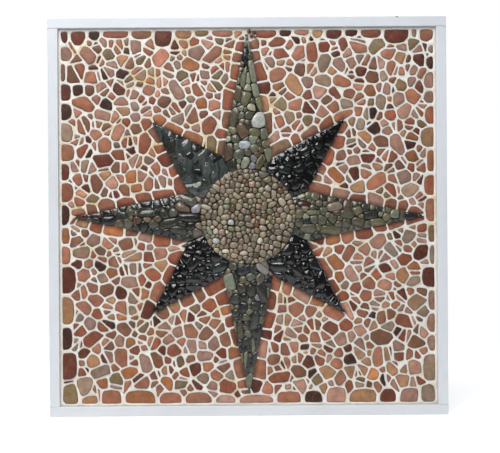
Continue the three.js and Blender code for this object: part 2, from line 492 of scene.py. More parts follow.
def paintFinish(name, alongX, nick=False):
    finish, tree, shader = startFinish(name)
    place = objectPlace(tree)
    stretch = frameLook["brushStretch"]
    squash = (stretch, 1, 1) if alongX else (1, 1, stretch)
    strokes = noiseOf(tree, scaledPlace(tree, place, *squash), frameLook["brushScale"], 3.0, 0.6)
    paint, thin, dirt = (solid(frameLook[tone]) for tone in ("paint", "thin", "dirt"))
    patches = noiseOf(tree, place, 9, 4.0, 0.6)
    body = mixed(tree, spread(tree, patches, 0.45, 0.75, (0.0, 0.55)), paint, thin)
    body = mixed(tree, spread(tree, strokes, 0.35, 0.75, (0.0, 0.3)), body, thin)
    apart = addNode(tree, "SeparateXYZ", Vector=place).outputs
    low = spread(tree, apart["Y"], -(bed["level"] + 1.6) * mm, -(bed["level"] - 0.2) * mm)
    speck = spread(tree, noiseOf(tree, place, 160, 4.0, 0.7), 0.42, 0.62)
    grime = mathOf(tree, "MULTIPLY", low, speck)
    body = mixed(tree, spread(tree, grime, 0.0, 1.0, (0.0, 0.16)), body, dirt)
    if nick:
        x, z = frameLook["nickAt"]
        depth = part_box("frame_rail_top")[0].y
        fromNick = addNode(tree, "Mapping", i0=place, Location=(-x * mm, -depth, -z * mm)).outputs[0]
        ragged = noiseOf(tree, place, 900, 3.0)
        size = lengthOf(tree, scaledPlace(tree, fromNick, 0.45, 0.6, 1.15))
        size = mathOf(tree, "MULTIPLY_ADD", ragged, 1.6 * mm, size)
        inner, outer = frameLook["nickSize"]
        inNick = spread(tree, size, inner * mm, outer * mm, (1.0, 0.0))
        body = mixed(tree, inNick, body, solid(frameLook["nick"]))
    dress(tree, shader, body, spread(tree, patches, 0.3, 0.7, (0.38, 0.52)))
    bumped(tree, shader, strokes, 0.12, 0.5)
    return finish


boardLook = {"pale": (196, 160, 112), "deep": (156, 116, 74), "fibre": (120, 86, 54), "blot": (138, 120, 98)}


def boardFinish():
    finish, tree, shader = startFinish("ply board")
    place = objectPlace(tree)
    longGrain = scaledPlace(tree, place, 1, 1, 0.06)
    pale, deep, dark, blot = (solid(tone) for tone in boardLook.values())
    figure = noiseOf(tree, longGrain, 26, 5.0, 0.6)
    fibre = noiseOf(tree, longGrain, 420, 3.0, 0.6)
    body = mixed(tree, spread(tree, figure, 0.35, 0.68), pale, deep)
    body = mixed(tree, spread(tree, fibre, 0.4, 0.75, (0.0, 0.45)), body, dark)
    blots = spread(tree, noiseOf(tree, place, 7, 3.0), 0.55, 0.8, (0.0, 0.35))
    body = mixed(tree, blots, body, blot)
    tree.links.new(body, shader.inputs["Base Color"])
    shader.inputs["Roughness"].default_value = 0.75
    bumped(tree, shader, fibre, 0.15, 0.6)
    return finish


acrossPaint = paintFinish("white paint across", alongX=True)
nickedPaint = paintFinish("white paint with a nick", alongX=True, nick=True)
uprightPaint = paintFinish("white paint upright", alongX=False)
keptFinishes = {
    "frame_rail_top": nickedPaint, "frame_rail_bottom": acrossPaint,
    "frame_rail_left": uprightPaint, "frame_rail_right": uprightPaint, "backing_board": boardFinish(),
}
for node, finish in keptFinishes.items():
    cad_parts[node].data.materials.clear()
    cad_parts[node].data.materials.append(finish)
print("frame and board finished")


stoneTones = {
    "rust": (142, 78, 52), "brown": (124, 82, 58), "tan": (168, 124, 88), "salmon": (174, 114, 88),
    "grey": (146, 120, 100), "pink": (164, 122, 104), "dark": (98, 44, 26), "maroon": (64, 28, 16),
    "olive": (120, 98, 66), "terra": (154, 98, 72), "orange": (164, 102, 60),
}

frameCourse = {
    # tones of the stones, in order along each side, with a dash where there is none
    "top": (
        "dark dark maroon rust brown dark tan olive salmon - "
        "rust maroon salmon tan dark maroon rust dark grey brown"
    ),
    "bottom": "olive tan terra orange terra terra pink pink terra maroon pink tan dark pink grey",
    "left": "pink brown dark maroon grey brown dark rust maroon orange terra dark tan maroon dark",
    "right": "grey maroon pink pink rust tan orange rust salmon olive grey dark pink pink pink grey",
    # length and depth of those that are too small to have a solid of their own
    "little": {
        "top": {
            1: (10.5, 18), 2: (22.5, 21), 3: (17, 13.5), 8: (21.5, 9), 12: (18, 9.5), 13: (22.5, 8),
            14: (16, 12), 15: (24.5, 14), 16: (19, 10.5), 19: (7, 12), 20: (20, 19),
        },
        "bottom": {1: (23, 31), 2: (24.5, 12), 13: (24.5, 20), 15: (21, 27)},
        "left": {1: (21.5, 17), 10: (24, 12)},
        "right": {1: (12, 7.5), 2: (19, 10.5), 3: (24, 14), 4: (18, 15), 15: (23.5, 11.5)},
    },
}
# each side as its direction along the frame, its inward direction, and where its course starts and ends
courseSides = {
    "top": ((1, 0), (0, -1), -courseEdge, courseEdge),
    "bottom": ((1, 0), (0, 1), -courseEdge, courseEdge),
    "left": ((0, -1), (1, 0), -courseEdge + 23, courseEdge),
    "right": ((0, -1), (-1, 0), -courseEdge + 24, courseEdge),
}


def outlineOf(node):
    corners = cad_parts[node].data.vertices
    return hullOf([(round(v.co.x / mm, 3), round(v.co.z / mm, 3)) for v in corners])


def littleStone(rand, side, start, length, depth):
    # a stone with a straight foot along the frame
    (ax, az), (ix, iz), _, _ = courseSides[side]
    lean = rand.uniform(-0.15, 0.15) * length
    shape = [
        (0, 0),
        (length, 0),
        (length * rand.uniform(0.94, 1), depth * rand.uniform(0.5, 0.85)),
        (length * rand.uniform(0.6, 0.8) + lean, depth),
        (length * rand.uniform(0.2, 0.4) + lean, depth * rand.uniform(0.9, 1)),
        (length * rand.uniform(0, 0.06), depth * rand.uniform(0.5, 0.85)),
    ]
    outline = [
        (ax * (start + a) + ix * (i - courseEdge), az * (start + a) + iz * (i - courseEdge)) for a, i in shape
    ]
    return outline if areaOf(outline) > 0 else outline[::-1]


def layFrameCourse(side):
    rand = random.Random("course " + side)
    (ax, az), _, edge, end = courseSides[side]
    little = frameCourse["little"][side]
    stones, waiting = [], []

    def fill(until, corner):
        # lays the waiting stones in even steps, with no joint at a corner of the frame
        nonlocal edge
        spare = until - edge - sum(little[i][0] for i, _ in waiting)
        joint = spare / (len(waiting) + (not corner))
        edge += 0 if corner == "start" else joint
        for i, tone in waiting:
            length, depth = little[i]
            stones.append((littleStone(rand, side, edge, length, depth), tone, None))
            edge += length + joint

    corner = "start"
    for i, tone in enumerate(frameCourse[side].split(), 1):
        node = f"course_stone_{side}_{i:02d}"
        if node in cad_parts:
            outline = outlineOf(node)
            reaches = [x * ax + z * az for x, z in outline]
            if waiting:
                fill(min(reaches), corner)
                waiting = []
            edge, corner = max(reaches), None
            stones.append((outline, tone, node))
        elif i in little:
            waiting.append((i, tone))
    if waiting:
        fill(end, "end")
    return stones


frameStones = {side: layFrameCourse(side) for side in courseSides}
print("frame course laid:", sum(len(stones) for stones in frameStones.values()), "stones")


ground = {
    "halfJoint": (1.0, 1.75),
    "underStar": 7.0,  # how far stones run in under the star
    "tipClearing": (5, 275.5, 9.5),  # middle and radius of the grout round the top of the north point
    "edgeRow": (4.0, 8.5),  # from the star's edge to the spines of the stones along it
    "edgeLength": (14, 33),  # of those stones
    "edgeLean": 0.16,
    "edgeStart": (4, 8),  # from the valley to the first of them
    "edgeOverlap": 0.86,
    "courseGap": 12,  # from the course along the frame
    "radius": (4.0, 9.0),
    "skew": 1.5,
    "longness": 0.9,
    "count": 1500,
    "tries": 60,
    "splitFrom": 240,  # area above which a stone is likely to be broken in two
    "splitShare": 0.4,
    "sliverShare": 0.14,
    "sliver": (6.0, 7.5),  # width of a strip broken off
    "leastArea": 13.0,
    "leastWidth": 2.4,
    "leastSide": (1.2, 1.0),  # before and after the joint is taken off
    "overlap": 0.8,  # share of its radius that a stone keeps clear of the star and the course
    "cellReach": 60,
    "outlineStep": 1.7,
}


def spineGap(one, other):
    # the least distance between the spines of two stones
    gaps = spineOf(*one)[:, None] - spineOf(*other)[None]
    return np.min(np.hypot(gaps[..., 0], gaps[..., 1]))


def edgeRows(rand):
    # sites of the stones that line the star, edge by edge
    sites = []
    for turn in range(8):
        for way in (-1, 1):
            start = Vector(onPoint(turn, valleyAlong, way * valleyAcross))
            end = Vector(onPoint(turn, pointReach[turn], way * star["tipHalf"]))
            along = (end - start).normalized()
            out = Vector((along.y, -along.x)) * -way
            reach = (end - start).length
            heading = math.atan2(along.y, along.x)
            place = rand.uniform(*ground["edgeStart"])
            while place < reach - ground["edgeStart"][0]:
                length = rand.uniform(*ground["edgeLength"])
                radius = rand.uniform(*ground["edgeRow"])
                site = start + along * (place + length / 2) + out * radius
                inside = max(abs(site.x), abs(site.y)) < courseEdge - ground["courseGap"]
                if inside and starDistance(*site) > 3:
                    lean = rand.uniform(-ground["edgeLean"], ground["edgeLean"])
                    sites.append((*site, heading + lean, max(length / 2 - radius, 0), radius * 0.96))
                place += length
    kept = []
    for site in sites:
        if all(spineGap(other, site) > (site[4] + other[4]) * ground["edgeOverlap"] for other in kept):
            kept.append(site)
    return kept


def cutAround(cell, block):
    # the parts of a convex cell outside a convex block
    x, z = middleOf(cell)
    sides = sorted(sidesOf(block), key=lambda s: -((x - s[0]) * s[2] + (z - s[1]) * s[3]))
    parts = []
    for px, pz, nx, nz in sides:
        outside = keepSide(cell, px, pz, -nx, -nz)
        if len(outside) > 2 and areaOf(outside) > ground["leastArea"]:
            parts.append(outside)
        cell = keepSide(cell, px, pz, nx, nz)
        if len(cell) < 3:
            break
    return parts


def widthOf(cell):
    # the least distance between two parallel lines round an outline
    return min(
        max(-((x - px) * nx + (z - pz) * nz) for x, z in cell) for px, pz, nx, nz in sidesOf(cell)
    )


def broken(rand, cell):
    # some stones are broken across, and some have lost a strip
    x, z = middleOf(cell)
    area = areaOf(cell)
    chance = rand.random()
    if area > ground["splitFrom"] and chance < ground["splitShare"]:
        longWay = max(cell, key=lambda p: math.dist(p, (x, z)))
        turn = math.atan2(longWay[1] - z, longWay[0] - x) + rand.uniform(-0.6, 0.6)
        shift = rand.uniform(-0.16, 0.16) * math.sqrt(area)
    elif area > ground["splitFrom"] * 0.7 and chance > 1 - ground["sliverShare"]:
        turn = rand.uniform(0, 2 * math.pi)
        reach = max((p[0] - x) * math.cos(turn) + (p[1] - z) * math.sin(turn) for p in cell)
        shift = reach - rand.uniform(*ground["sliver"])
    else:
        return [cell]
    nx, nz = math.cos(turn), math.sin(turn)
    px, pz = x + nx * shift, z + nz * shift
    parts = [keepSide(cell, px, pz, nx, nz), keepSide(cell, px, pz, -nx, -nz)]
    return [part for part in parts if len(part) > 2]


def planGround():
    rand = random.Random(41)
    under = ground["underStar"]
    blocks = []
    for turn in range(8):
        outline = [onPoint(turn, *corner) for corner in pointCorners(turn)]
        blocks.append(shrink(outline, [0, under, under / 2, under, 0]))
    halfJoint = sum(ground["halfJoint"]) / 2
    for stones in frameStones.values():
        for outline, _, _ in stones:
            blocks.append(grown(outline, halfJoint))
    blocks.append(polygonOf(*ground["tipClearing"], np.arange(8) * eighthTurn))
    boxes = [boxOf(block) for block in blocks]
    blockSides = [sidesOf(block) for block in blocks[8:]]
    count = max(len(sides) for sides in blockSides)
    fence = np.array([sides + sides[:1] * (count - len(sides)) for sides in blockSides])
    fx, fz, fnx, fnz = fence.transpose(2, 0, 1)

    def isFree(x, z, radius):
        least = radius * ground["overlap"]
        if starDistance(x, z) < least:
            return False
        return ((x - fx) * fnx + (z - fz) * fnz).max(axis=1).min() > least

    edge = courseEdge
    rows = edgeRows(rand)
    area = (-edge, edge, -edge, edge)
    sizes = sizesOf(rand, ground)
    sites = scatter(rand, area, sizes, (0, math.pi), rows, isFree, ground["tries"])
    stones = []
    for index, cell in enumerate(cellsRound(sites, ground["cellReach"])):
        for side in ((edge, 0, 1, 0), (-edge, 0, -1, 0), (0, edge, 0, 1), (0, -edge, 0, -1)):
            cell = keepSide(cell, *side)
        parts = [cell]
        for block, (x0, x1, z0, z1) in zip(blocks, boxes):
            left = []
            for part in parts:
                minX, maxX, minZ, maxZ = boxOf(part)
                if minX > x1 or maxX < x0 or minZ > z1 or maxZ < z0:
                    left.append(part)
                else:
                    left += cutAround(part, block)
            parts = left
        lines = index < len(rows)
        if not lines:
            parts = [piece for part in parts for piece in broken(rand, part)]
        for part in parts:
            part = dropShortSides(part, ground["leastSide"][0])
            if len(part) < 3:
                continue
            inner = shrink(part, [rand.uniform(*ground["halfJoint"]) for _ in part])
            inner = dropShortSides(inner, ground["leastSide"][1])
            if len(inner) < 3 or areaOf(inner) < ground["leastArea"]:
                continue
            if widthOf(inner) >= ground["leastWidth"]:
                stones.append({"cell": part, "face": inner, "lines": lines})
    return stones


def grown(outline, gap):
    # an outline moved outwards, its corners kept sharp
    sides = sidesOf(outline)
    corners = []
    for (ax, az, anx, anz), (bx, bz, bnx, bnz) in zip(sides[-1:] + sides[:-1], sides):
        cross = anx * bnz - anz * bnx
        if abs(cross) < 1e-4:
            corners.append((bx + bnx * gap, bz + bnz * gap))
            continue
        da = anx * ax + anz * az + gap
        db = bnx * bx + bnz * bz + gap
        corners.append(((da * bnz - db * anz) / cross, (anx * db - bnx * da) / cross))
    return corners


groundStones = planGround()
print("ground planned:", len(groundStones), "stones")


paving = {
    "proud": (0.9, 1.5),  # height of a stone's shoulder above the grout
    "dome": (0.1, 0.6),
    "tilt": 0.022,
    "roundness": (0.1, 0.38),
    "wobble": 0.26,
    # colour towards which each stone's sides and foot are darkened: painted shade in the joints
    "rim": (98, 88, 64),
    "sideShadeShare": 0.55,
    "groundMix": {
        "terra": 26, "pink": 18, "tan": 9, "salmon": 9, "grey": 7, "rust": 13, "dark": 7, "maroon": 2, "olive": 5,
        "orange": 6, "brown": 9,
    },
    "starMix": {"rust": 34, "terra": 22, "dark": 10, "orange": 12, "pink": 6, "tan": 6, "brown": 10},
    "footShadeAndStain": (0.34, 0.28, 0.22),  # painted shade round the foot of the raised star, partly resin stain that crept out: what it does to a stone's colour
    "footShadeReach": 5.5,
}


def roughened(rand, outline, amount):
    # small wanders of a broken edge
    count = len(outline)
    around = np.arange(count) * 2 * math.pi / count
    wander = np.zeros(count)
    for turns in (3, 4, 6, 7, 9):
        wander += rand.gauss(0, 1) / math.sqrt(turns) * np.cos(turns * around + rand.uniform(0, 6.3))
    middle = outline.mean(axis=0)
    arms = outline - middle
    length = np.linalg.norm(arms, axis=1, keepdims=True)
    return outline + arms / length * np.minimum(wander[:, None] * amount, amount * 1.5)


def addPaving(pile, rand, outline, color):
    middle = outline.mean(axis=0)
    arms = outline - middle
    length = np.linalg.norm(arms, axis=1, keepdims=True)
    proud = rand.uniform(*paving["proud"])
    dome = rand.uniform(*paving["dome"])
    tilt = np.array([rand.gauss(0, paving["tilt"]), rand.gauss(0, paving["tilt"])])
    main = varied(rand, color, 0.17, 0.05)
    # a stone's sides are darkened towards the rim colour: painted shade where it meets the grout
    rim = blended(main, (*[c * 0.85 for c in linear(paving["rim"])], 1), paving["sideShadeShare"])
    # the middle of each stone's top is painted 6% lighter: a painted highlight
    paintedTopLight = tuple(c * 1.06 for c in main)
    profile = [  # inset from the outline, height, tint
        (0.5, -2.2, rim), (-0.1, -0.3, rim), (0.05, 0.45 * proud, rim), (0.4, 0.82 * proud, rim),
        (1.0, proud, blended(rim, main, 0.5)), (2.2, proud + 0.35 * dome, main),
    ]
    rings, tints = [], []
    for inset, height, tint in profile:
        flat = middle + arms * np.maximum(1 - inset / length, 0.35)
        lift = (flat - middle) @ tilt * min(max(height, 0), 1)
        rings.append(np.column_stack([flat, height + lift]))
        tints.append(tint)
    flat = middle + arms * 0.3
    rings.append(np.column_stack([flat, proud + 0.85 * dome + (flat - middle) @ tilt]))
    tints.append(paintedTopLight)
    first = len(pile["points"])
    stackRings(pile, rings, tints, (*middle, proud + dome))
    # stones near the star are darkened towards its foot: painted shade, partly resin stain
    footShadeAndStain = paving["footShadeAndStain"]
    for i in range(first, len(pile["points"])):
        near = starDistance(*pile["points"][i][:2]) / paving["footShadeReach"]
        if near < 1:
            share = 1 - max(near, 0)
            unshadedTint = pile["tints"][i]
            pile["tints"][i] = tuple(c * (1 - share * (1 - w)) for c, w in zip(unshadedTint, (*footShadeAndStain, 1)))


pavingFinish = stoneFinish("paving stone", {
    "cloudScale": 95, "cloud": (0.72, 1.2), "grainScale": 620, "grain": (0.82, 1.12), "vein": 0.12,
    "veinColor": (196, 160, 132), "roughness": (0.42, 0.62), "bump": 0.35, "bumpStrength": 0.55,
})

pocketOutlines = []  # every paving stone's outline, for the grout to meet
sectorPiles = [newPile() for _ in range(8)]
stoneRand = random.Random(7)
for stone in groundStones:
    roundness = stoneRand.uniform(*paving["roundness"])
    outline = softOutline(stone["face"], roundness, ground["outlineStep"])
    outline = roughened(stoneRand, outline, paving["wobble"])
    mix = paving["starMix" if stone["lines"] else "groundMix"]
    x, z = outline.mean(axis=0)
    sector = math.floor(math.atan2(z, x) / eighthTurn) % 8
    addPaving(sectorPiles[sector], stoneRand, outline, stoneTones[pick(stoneRand, mix)])
    pocketOutlines.append(outline)
sectorNames = ["east_northeast", "north_northeast", "north_northwest", "west_northwest",
               "west_southwest", "south_southwest", "south_southeast", "east_southeast"]
for name, pile in zip(sectorNames, sectorPiles):
    makePiece(f"paving_{name}", pile, pavingFinish)

for side, stones in frameStones.items():
    pile = newPile()
    replaced = []
    for outline, tone, node in stones:
        soft = roughened(stoneRand, softOutline(outline, 0.3, ground["outlineStep"]), paving["wobble"] * 0.6)
        addPaving(pile, stoneRand, soft, stoneTones[tone])
        pocketOutlines.append(soft)
        if node:
            replaced.append(node)
    piece = makePiece(f"frame_course_{side}", pile, pavingFinish)
    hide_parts(*replaced)


groutLook = {
    "color": (248, 243, 236),
    "shade": (232, 224, 214),
    "stain": (218, 186, 112),
    "stainNear": 70.0,  # reach of the yellowing round the star
    "stainCorner": (120, 260),  # towards the upper left corner, where it starts and how far it takes to grow
    "stainPatch": 38,
    "ripple": (0.18, 9),  # height and length
    "bankStep": 6,
}


def groutFinish():
    finish, tree, shader = startFinish("white grout")
    place = objectPlace(tree)
    cloud = noiseOf(tree, place, 60, 4.0, 0.6)
    sand = noiseOf(tree, place, 1500, 2.0, 0.6)
    plain, shade, yellow = (solid(groutLook[tone]) for tone in ("color", "shade", "stain"))
    body = mixed(tree, spread(tree, cloud, 0.35, 0.7), plain, shade)
    stain = addNode(tree, "SeparateColor", Color=tintOf(tree)).outputs["Red"]
    patches = spread(tree, noiseOf(tree, place, 110, 3.0), 0.4, 0.6)
    body = mixed(tree, mathOf(tree, "MULTIPLY", stain, patches), body, yellow)
    body = mixed(tree, 1.0, body, spread(tree, sand, 0.3, 0.7, (0.9, 1.04)), "MULTIPLY")
    dress(tree, shader, body, spread(tree, sand, 0.3, 0.7, (0.75, 0.95)))
    bumped(tree, shader, mathOf(tree, "ADD", cloud, sand), 0.25, 0.5)
    return finish


def makeGrout():
    points, heights, edges = [], [], []

    def addLoop(outline, height):
        first, count = len(points), len(outline)
        points.extend(Vector(p) for p in outline)
        heights.extend([height] * count)
        edges.extend((first + i, first + (i + 1) % count) for i in range(count))

    half = bed["half"]
    steps = round(2 * half / groutLook["bankStep"])
    for k in range(steps):
        run = -half + 2 * half * k / steps
        for corner in ((run, -half), (half, run), (-run, half), (-half, -run)):
            points.append(Vector(corner))
            heights.append(bed["bank"])
    for outline in pocketOutlines:
        addLoop(outline, bed["climb"])
        middle = outline.mean(axis=0)
        addLoop(middle + (outline - middle) * 0.8, -bed["pocket"])
    for stone in groundStones:
        for (ax, az), (bx, bz) in pairsOf(stone["cell"]):
            parts = max(1, round(math.dist((ax, az), (bx, bz)) / bed["step"]))
            for k in range(parts):
                t = k / parts
                points.append(Vector((ax + (bx - ax) * t, az + (bz - az) * t)))
                heights.append(-bed["sag"])
    out = delaunay_2d_cdt(points, edges, [], 0, 0.05)
    flat, triangles, sources = out[0], out[2], out[3]
    pile = newPile()
    ripple, rippleLength = groutLook["ripple"]
    patchSize, (start, growth) = groutLook["stainPatch"], groutLook["stainCorner"]
    for p, source in zip(flat, sources):
        height = heights[source[0]] if source else -bed["sag"]
        height += ripple * waves.noise(Vector((p.x / rippleLength, p.y / rippleLength, 0)))
        pile["points"].append((p.x, p.y, height))
        near = max(0.0, 1 - abs(starDistance(p.x, p.y)) / groutLook["stainNear"])
        corner = max(0.0, min(1.0, (p.y - p.x - start) / growth))
        patch = waves.noise(Vector((p.x / patchSize, p.y / patchSize, 9))) * 1.3 + 0.25
        stain = min(max(patch * (0.25 + 0.6 * near + 0.55 * corner), 0), 1)
        pile["tints"].append((stain, stain, stain, 1))
    pile["faces"] = [tuple(face) for face in triangles]
    rim = [i for i, p in enumerate(flat) if max(abs(p.x), abs(p.y)) > half - 0.01]
    rim.sort(key=lambda i: math.atan2(flat[i].y, flat[i].x))
    first = len(pile["points"])
    back = bed["back"] - bed["level"]
    for i in rim:
        pile["points"].append((flat[i].x, flat[i].y, back))
        pile["tints"].append((0, 0, 0, 1))
    for k, i in enumerate(rim):
        j = (k + 1) % len(rim)
        pile["faces"].append((i, first + k, first + j, rim[j]))
    pile["faces"].append(tuple(range(first + len(rim) - 1, first - 1, -1)))
    piece = makePiece("grout_joints", pile, groutFinish())
    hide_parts("grout_bed")


makeGrout()


pebbleTones = {
    "greygreen": (84, 81, 66), "olive": (100, 95, 68), "slate": (48, 48, 41), "pale": (138, 139, 118),
    "brown": (96, 74, 54), "lilac": (130, 126, 130), "white": (180, 182, 176), "oxblood": (70, 28, 18),
    "sage": (108, 110, 90), "ink": (34, 38, 48), "jet": (12, 12, 13), "coal": (26, 27, 29),
    "bottle": (28, 40, 36), "steel": (70, 74, 72), "beige": (150, 136, 114), "dun": (132, 120, 98),
    "rose": (146, 122, 104), "cream": (184, 174, 150), "moss": (114, 110, 78), "amber": (120, 78, 46),
    "taupe": (114, 102, 86), "blush": (190, 176, 168), "chestnut": (92, 48, 36),
}
pointMixes = {
    "north": {"greygreen": 22, "olive": 14, "sage": 24, "pale": 18, "slate": 6, "brown": 5, "lilac": 3, "dun": 10},
    "east": {"greygreen": 34, "slate": 22, "olive": 14, "sage": 9, "brown": 12, "ink": 5, "lilac": 1},
    "south": {"slate": 32, "greygreen": 26, "sage": 10, "coal": 14, "olive": 5, "pale": 2, "lilac": 4, "brown": 4},
    "west": {"slate": 38, "greygreen": 24, "coal": 18, "brown": 10, "olive": 5, "sage": 2, "taupe": 3},
    "northeast": {"jet": 56, "coal": 34, "bottle": 10},
    "southwest": {"jet": 70, "coal": 26, "bottle": 4},
    "southeast": {"jet": 74, "coal": 22, "ink": 4},
    "northwest": {"steel": 46, "coal": 26, "slate": 26, "ink": 2},
}
collarMix = {"taupe": 22, "dun": 12, "greygreen": 20, "lilac": 9, "pale": 7, "slate": 18, "brown": 12}
pebbles = {
    # radius and spread of sizes, thickness for the size, squareness of the profile, lift over the mean, corners
    "long": {
        "radius": (2.3, 6.4), "skew": 1.8, "longness": 1.7, "count": 420, "turns": (-0.5, 0.5), "thick": 0.5,
        "square": 2.8, "lift": (-0.8, 1.0), "round": 0.34,
    },
    "northeast": {
        "radius": (2.4, 5.6), "skew": 1.6, "longness": 1.0, "count": 260, "turns": (0, 3.1), "thick": 0.72,
        "square": 2.9, "lift": (-0.9, 1.3), "round": 0.16,
    },
    "southwest": {
        "radius": (2.8, 5.8), "skew": 1.6, "longness": 1.0, "count": 220, "turns": (0, 3.1), "thick": 0.7,
        "square": 2.6, "lift": (-0.9, 1.2), "round": 0.3,
    },
    "southeast": {
        "radius": (2.8, 6.6), "skew": 1.4, "longness": 1.1, "count": 240, "turns": (0, 3.1), "thick": 0.7,
        "square": 2.1, "lift": (-0.9, 1.0), "round": 0.4,
    },
    "northwest": {
        "radius": (3.6, 8.5), "skew": 1.1, "longness": 1.6, "count": 160, "turns": (-0.9, 0.3), "thick": 0.34,
        "square": 3.4, "lift": (-0.5, 0.5), "round": 0.22,
    },
    "boss": {
        "radius": (2.0, 4.2), "skew": 1.7, "longness": 0.8, "count": 620, "turns": (0, 3.1), "thick": 0.7,
        "square": 2.1, "lift": (-0.6, 0.8), "round": 0.42,
    },
}
# stones that stand out: place, half spine, radius, turn in degrees and tone
marked = {
    "north": [
        (18, 145, 3, 9.5, 60, "white"), (12, 127, 2, 5.5, 0, "moss"), (24, 125, 3, 5.5, 100, "sage"),
        # the white stone at (-4, 108) is a pale pebble whose whiteness is partly a painted highlight
        (-4, 108, 3, 5, 10, "white"), (8, 219, 13, 4.4, 98, "pale"), (-5, 212, 13, 4.2, 80, "sage"),
        (12, 190, 7, 5.4, 100, "pale"), (17, 170, 7, 4.2, 100, "moss"), (31, 94, 4, 4.8, 95, "sage"),
        (20, 82, 6, 5.5, 60, "olive"), (-2, 243, 7, 3.2, 90, "ink"), (3, 258, 7, 2.4, 92, "pale"),
        (-18, 150, 9, 4.4, 80, "greygreen"), (-12, 184, 9, 4.0, 80, "greygreen"),
    ],
    "east": [
        # the white and pale stones at (66, 29) and (80, 31) are pale pebbles whose whiteness is partly a painted
        # highlight
        (84, 18.5, 6, 3.2, -8, "oxblood"), (66, 29, 2, 3.2, 0, "white"), (80, 31, 3, 3.2, 0, "pale"),
        (107, 19, 1, 4.4, 0, "olive"), (130, 14, 5, 6.5, 10, "taupe"), (96, 6, 4, 3.6, 5, "moss"),
        (150, 2, 5, 5, -5, "greygreen"), (88, -8, 2, 4, 0, "ink"),
    ],
    # the white stone at (-81, 48) is a painted highlight: it stands for a bright reflection on the thick resin
    "northwest": [(-81, 48, 7, 3.6, 5, "white"), (-62, 72, 8, 5, 100, "steel"), (-94, 82, 9, 5.5, 130, "steel")],
    "west": [
        (-250, 1, 5, 2.0, 0, "oxblood"), (-230, 3, 7, 3.4, -5, "oxblood"), (-211, 6, 4, 3.2, 0, "jet"),
        (-150, 6, 9, 5.4, 8, "slate"), (-120, -10, 8, 6, 15, "slate"), (-98, 14, 7, 4.6, -20, "brown"),
    ],
    "south": [
        (7, -190, 13, 4.2, 86, "sage"), (-4, -222, 14, 4.0, 92, "sage"), (-12, -170, 10, 5, 98, "greygreen"),
        (16, -176, 8, 3.6, 80, "ink"), (8, -214, 7, 2.8, 80, "ink"), (-26, -98, 7, 6, 100, "pale"),
        (4, -112, 4, 6, 90, "slate"), (-8, -82, 5, 5.5, 20, "ink"), (22, -80, 5, 5, 140, "lilac"),
        (1, -248, 8, 2.6, 90, "sage"),
    ],
    "boss": [
        (50.6, 21.7, 3.0, 4.2, -62, "cream"), (-25.4, -9, 1, 4.8, 0, "blush"), (0.5, -2.6, 1, 4.8, 0, "taupe"),
        (-31.7, 14.8, 1, 3.8, 0, "pale"), (13.1, -10, 2.5, 2.6, 90, "amber"), (-7, -18.5, 1, 3, 0, "moss"),
        (33, 7, 1, 3.6, 0, "moss"), (-37.6, 40.6, 2.5, 3.8, 90, "rose"), (-22, -43, 1.5, 5.2, 0, "beige"),
        (-16.5, 31, 4, 2.8, -35, "beige"), (-48, -36, 1, 4.4, 0, "white"), (-58.5, -21.5, 3.5, 2.8, -60, "pale"),
        (30, 54, 3, 3.4, 0, "moss"), (-34, -52, 2, 3.4, 0, "cream"), (-7, -55, 2, 4, 10, "cream"),
    ],
}
# brown pebbles set in the grout round the top of the north point: place, radius and tone
tipPebbles = [
    (3.4, 279.6, 3.7, "chestnut"), (10.3, 278.6, 3.4, "brown"), (6.8, 272.4, 3.3, "chestnut"),
    (12.4, 272.2, 2.6, "chestnut"), (-1.2, 273.6, 2.4, "brown"),
]
bossMix = {"beige": 30, "dun": 30, "taupe": 20, "rose": 8, "cream": 3, "moss": 4, "amber": 1, "brown": 4}
embed = {
    "bed": 2.1,  # how far the mortar lies below the pebbles' mean height
    "resin": 0.3,  # and the thick resin
    "steady": 3.2,  # size from which pebbles lie flatter
    "tilt": 0.13,
    "slopeStep": 2.5,
    "tries": 70,
    "cellReach": 22,
    "joint": (0.05, 0.35),
    "leastArea": 5,
    "leastSide": 0.8,
    "outlineStep": 1.6,
}


def slopeAt(x, z):
    # how steeply the pebbled surface climbs to the right and upwards
    step = embed["slopeStep"]
    return np.array([
        starHeight(x + step, z) - starHeight(x - step, z), starHeight(x, z + step) - starHeight(x, z - step),
    ]) / (2 * step)


def addPebble(pile, rand, outline, kind, color, angular=False, lift=None):
    look = pebbles[kind]
    middle = outline.mean(axis=0)
    arms = (outline - middle) * rand.uniform(0.96, 1.08)
    size = np.linalg.norm(arms, axis=1).mean()
    thick = min(max(look["thick"] * size, 1.1), 4.2) * rand.uniform(0.85, 1.15)
    level = starHeight(*middle) + (rand.uniform(*look["lift"]) if lift is None else lift) - thick
    loose = np.array([rand.gauss(0, embed["tilt"]), rand.gauss(0, embed["tilt"])])
    tilt = slopeAt(*middle) + loose * min(1, embed["steady"] / size)
    offset = arms[rand.randrange(len(arms))] * rand.uniform(0, 0.22)  # the crown isn't over the middle
    main = varied(rand, color, 0.16, 0.04)
    rings, tints = [], []
    for up in (-0.95, -0.4, 0.0, 0.75, 0.97) if angular else (-0.95, -0.6, 0.0, 0.35, 0.62, 0.83, 0.96):
        scale = (1 - abs(up) ** look["square"]) ** (1 / look["square"])
        flat = middle + offset * max(up, 0) + arms * scale
        height = level + up * thick + (flat - middle) @ tilt
        rings.append(np.column_stack([flat, height]))
        # each pebble is darkened towards its foot, down to about half its tone: painted shade in the gaps between
        # pebbles
        tints.append(blended(main, (*[c * 0.5 for c in main[:3]], 1), 0.7 * max(0, 0.5 - up)))
    crown = middle + offset
    stackRings(pile, rings, tints, (*crown, level + thick + (crown - middle) @ tilt))


def bossReach(x, z):
    # the boss isn't quite round
    away = math.hypot(x, z) + 0.01
    return star["boss"] + 3.2 * waves.noise(Vector((x / away * 5, z / away * 5, 2)))


